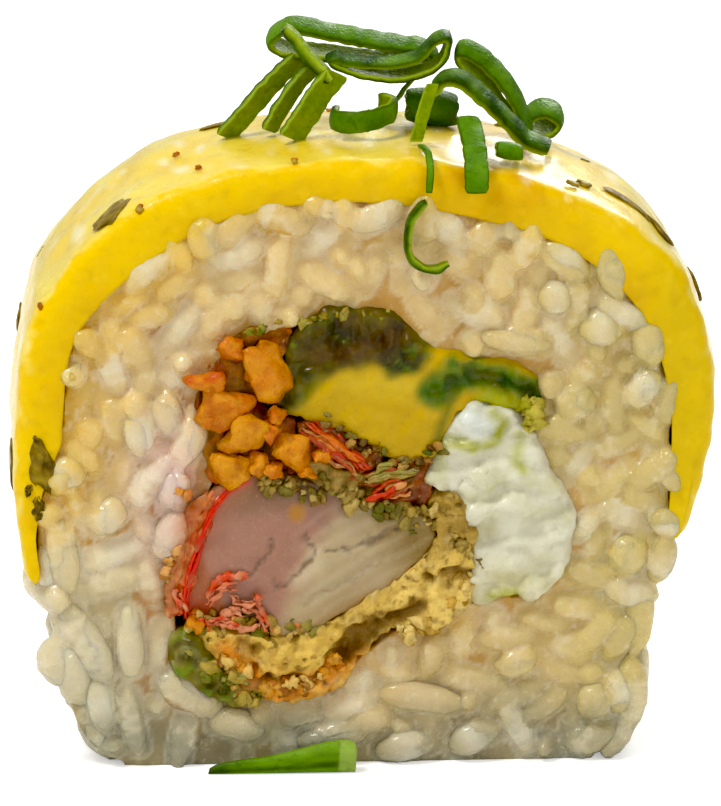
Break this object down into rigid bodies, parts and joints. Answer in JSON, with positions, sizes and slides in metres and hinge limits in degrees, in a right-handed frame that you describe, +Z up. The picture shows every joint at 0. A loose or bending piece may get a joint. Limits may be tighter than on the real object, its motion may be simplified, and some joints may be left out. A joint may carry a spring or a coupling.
{
  "type": "uramaki roll slice",
  "caption": "Thick loaf-shaped slice of uramaki: rice round fried prawn, avocado and cream cheese, under a sheet of yellow cheese with spring onion on top.",
  "frame": {"origin": "on the flat base, below the middle of the slice", "axes": "+Z up out of the base, -Y out of the front cut face, +X to the right of its viewer"},
  "size_m": [0.0557, 0.0267, 0.0576],
  "materials": {
    "rice": "moist cooked rice, cream-beige, translucent, small wet highlights",
    "cheese": "melted yellow cheese, smooth and slightly glossy",
    "prawn": "cooked prawn, pinkish white and translucent, red at its skin",
    "avocado": "ripe avocado, yellow to green, wet",
    "batter": "porous golden batter",
    "cream_cheese": "white cream cheese with torn edges",
    "surimi": "red and orange surimi shreds, wet",
    "crumbs": "orange fried crumbs",
    "spring_onion": "cut spring onion leaf, smooth green skin, paler inside"
  },
  "bodies": {
    "root": {"cheese_sheet": "cheese", "prawn": "prawn", "avocado": "avocado", "batter": "batter", "surimi_large": "surimi", "cream_cheese": "cream_cheese", "surimi_small": "surimi", "batter_flake": "batter", "avocado_scrap": "avocado", "fried_crumbs": "crumbs", "rice": "rice", "onion_strip_left_a": "spring_onion", "onion_strip_left_b": "spring_onion", "onion_strip_left_c": "spring_onion", "onion_loop_left": "spring_onion", "onion_ring_top": "spring_onion", "onion_ring_middle": "spring_onion", "onion_half_ring": "spring_onion", "onion_thread_back": "spring_onion", "onion_strip_front": "spring_onion", "onion_thread_front": "spring_onion", "onion_curl": "spring_onion", "onion_strip_short": "spring_onion", "onion_tube_back": "spring_onion", "onion_tube_small": "spring_onion", "onion_ring_right": "spring_onion", "onion_band_right": "spring_onion", "onion_ring_small": "spring_onion", "onion_stem": "spring_onion"}
  },
  "joints": []
}
